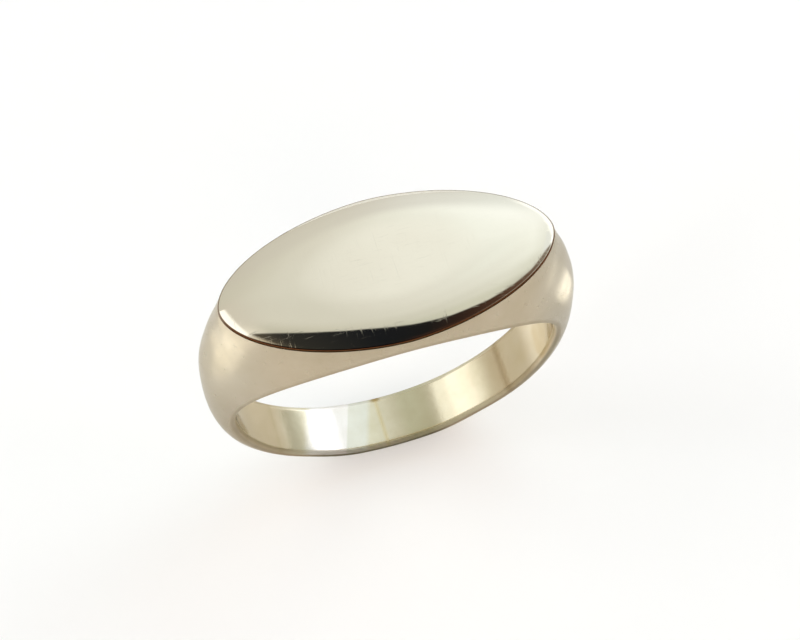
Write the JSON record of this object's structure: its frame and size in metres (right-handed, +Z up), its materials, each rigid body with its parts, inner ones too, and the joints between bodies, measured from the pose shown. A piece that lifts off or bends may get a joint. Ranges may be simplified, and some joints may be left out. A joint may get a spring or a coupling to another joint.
{
  "type": "signet ring",
  "caption": "Plain signet ring with a long oval domed table across the finger, tapering shoulders and a narrow band, standing upright on its band.",
  "frame": {"origin": "middle of the ring's bounding box at its lowest point, on the small flat filed on the bottom of the band", "axes": "+X along the long axis of the oval table, across the finger; +Y along the axis of the finger bore, away from the viewer; +Z up, out of the table"},
  "size_m": [0.0207, 0.0086, 0.021],
  "materials": {
    "polished_silver": "mirror polish with faint hairline scratches",
    "satin_silver": "satin, softly burnished",
    "shank_silver": "worn polish",
    "hard_solder": "polished with the band, slightly yellow",
    "table_solder": "tarnished line in a crease"
  },
  "bodies": {
    "root": {"table_plate": "polished_silver", "table_solder": "table_solder", "signet_head": "satin_silver", "shank_left": "shank_silver", "shank_right": "shank_silver", "solder_left": "hard_solder", "solder_right": "hard_solder", "base_solder": "hard_solder"}
  },
  "joints": []
}
